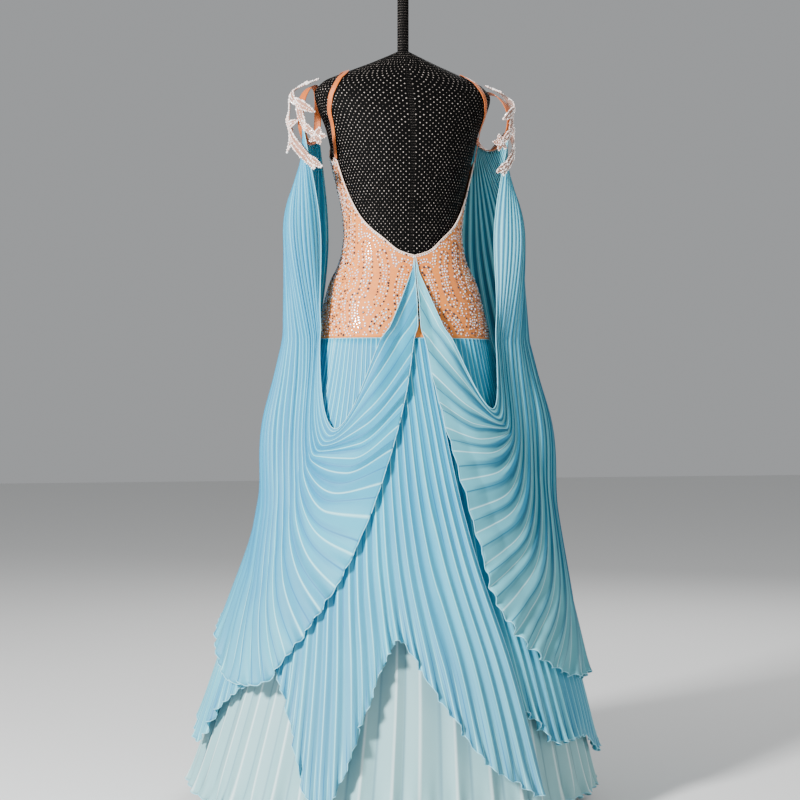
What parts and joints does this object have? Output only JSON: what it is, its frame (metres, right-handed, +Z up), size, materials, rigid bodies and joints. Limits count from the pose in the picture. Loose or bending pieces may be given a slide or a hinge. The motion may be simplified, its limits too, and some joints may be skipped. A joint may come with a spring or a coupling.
{
  "type": "ballroom dance dress on a dress form",
  "caption": "Backless ballroom dance dress with a beaded nude top, pleated blue chiffon floats on lace armbands and a layered pleated skirt, on a limbless dress form.",
  "frame": {"origin": "centre of the underside of the round base, on the floor, below the middle of the figure", "axes": "+Z up, -Y out of the low back of the dress, +X to the wearer's right"},
  "size_m": [0.8063, 0.7501, 1.6],
  "materials": {
    "blue_chiffon": "sheer matt pleated chiffon",
    "pale_chiffon": "sheer matt chiffon",
    "nude_mesh": "nude stretch mesh, stoned",
    "nude_elastic": "matt elastic",
    "lace": "stiff beaded lace",
    "form_cover": "black shell under black net",
    "stand_metal": "black paint"
  },
  "bodies": {
    "root": {"form_torso": "form_cover", "stand_base": "stand_metal", "stand_pole": "stand_metal", "bodice_back": "nude_mesh", "bodice_front": "nude_mesh", "strap_left": "nude_elastic", "strap_right": "nude_elastic", "underskirt_back": "pale_chiffon", "underskirt_front": "pale_chiffon", "overskirt_back": "blue_chiffon", "overskirt_front": "blue_chiffon", "armband_left": "nude_elastic", "armband_right": "nude_elastic", "lace_left": "lace", "lace_right": "lace", "float_left": "blue_chiffon", "float_right": "blue_chiffon"}
  },
  "joints": []
}
